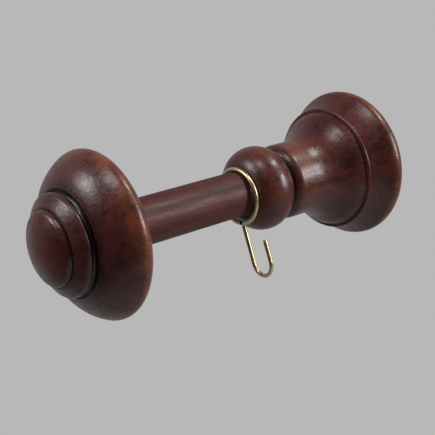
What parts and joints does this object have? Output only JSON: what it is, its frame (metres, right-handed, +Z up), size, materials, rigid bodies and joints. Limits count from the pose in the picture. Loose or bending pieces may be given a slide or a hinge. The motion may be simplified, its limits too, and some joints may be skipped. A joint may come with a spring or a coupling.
{
  "type": "curtain holdback",
  "caption": "Turned dark wooden curtain holdback with a flanged base, dowel post and disc finial, and a loose brass ring hook hanging on the post.",
  "frame": {"origin": "centre of the base's flat back face, which meets the wall", "axes": "+Y into the wall along the post's axis, the post runs to -Y, +Z up, the hook opens towards +X"},
  "size_m": [0.066, 0.1939, 0.0696],
  "materials": {
    "stained_wood": "dark red-brown mahogany stain under satin lacquer",
    "brass_wire": "bright drawn brass wire",
    "insert_brass": "machined brass",
    "zinc_steel": "bright zinc plated"
  },
  "bodies": {
    "wall_fixing": {"hanger_bolt": "zinc_steel"},
    "holdback": {"base": "stained_wood", "post": "stained_wood", "finial": "stained_wood", "threaded_insert": "insert_brass", "finial_screw": "zinc_steel"},
    "ring_hook": {"ring_hook": "brass_wire"}
  },
  "joints": [
    {"name": "holdback_turn", "type": "hinge", "parent": "wall_fixing", "child": "holdback", "pos_m": [0, 0, 0], "axis": [0, -1, 0], "continuous": true},
    {"name": "ring_slide", "type": "slide", "parent": "wall_fixing", "child": "ring_hook", "axis": [0, -1, 0], "range_m": [0, 0.062]}
  ]
}
